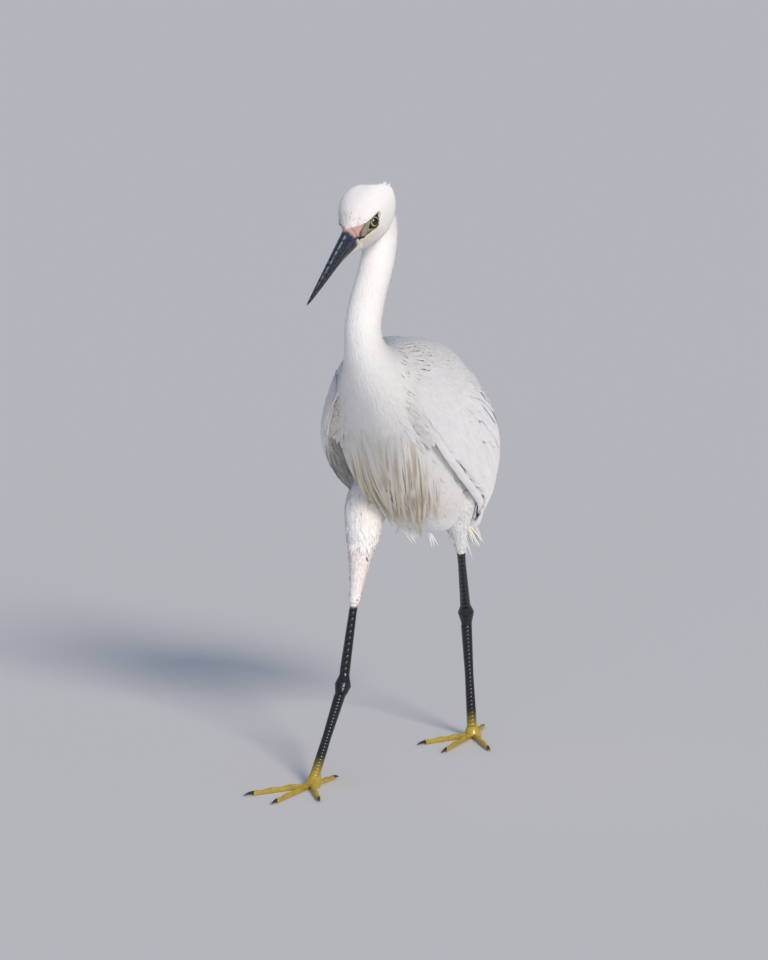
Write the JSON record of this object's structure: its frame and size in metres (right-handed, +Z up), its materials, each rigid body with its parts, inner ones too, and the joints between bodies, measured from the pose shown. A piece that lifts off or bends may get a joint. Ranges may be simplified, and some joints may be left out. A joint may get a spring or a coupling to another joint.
{
  "type": "little egret model",
  "caption": "Life-size still model of a little egret wading with one leg forward: white plumage, loose cream breast plumes, dagger bill, long dark legs and yellowish feet.",
  "frame": {"origin": "on the floor under the middle of the bird's box", "axes": "+Z up, the body's middle plane is a plane of constant x and the bird faces -Y, its left side at +X"},
  "size_m": [0.1236, 0.3546, 0.4778],
  "materials": {
    "plumage": "soft white feathers",
    "breast_plumes": "loose cream plumes",
    "bill": "horn with a low gloss, blue-black",
    "eyes": "wet eye, yellow iris and dark pupil",
    "leg_scales": "black scaled skin, satin",
    "foot_scales": "yellowish scaled skin, satin",
    "claws": "dark horn"
  },
  "bodies": {
    "root": {"trunk": "plumage", "neck_lower": "plumage", "neck_middle": "plumage", "neck_upper": "plumage", "head": "plumage", "tail": "plumage", "wing_left": "plumage", "wing_right": "plumage", "thigh_left": "plumage", "thigh_right": "plumage", "breast_plumes": "breast_plumes", "bill_upper": "bill", "bill_lower": "bill", "eye_left": "eyes", "eye_right": "eyes", "shin_left": "leg_scales", "ankle_left": "leg_scales", "tarsus_left": "leg_scales", "foot_left": "foot_scales", "toe_inner_left": "foot_scales", "claw_inner_left": "claws", "toe_middle_left": "foot_scales", "claw_middle_left": "claws", "toe_outer_left": "foot_scales", "claw_outer_left": "claws", "toe_hind_left": "foot_scales", "claw_hind_left": "claws", "shin_right": "leg_scales", "ankle_right": "leg_scales", "tarsus_right": "leg_scales", "foot_right": "foot_scales", "toe_inner_right": "foot_scales", "claw_inner_right": "claws", "toe_middle_right": "foot_scales", "claw_middle_right": "claws", "toe_outer_right": "foot_scales", "claw_outer_right": "claws", "toe_hind_right": "foot_scales", "claw_hind_right": "claws"}
  },
  "joints": []
}
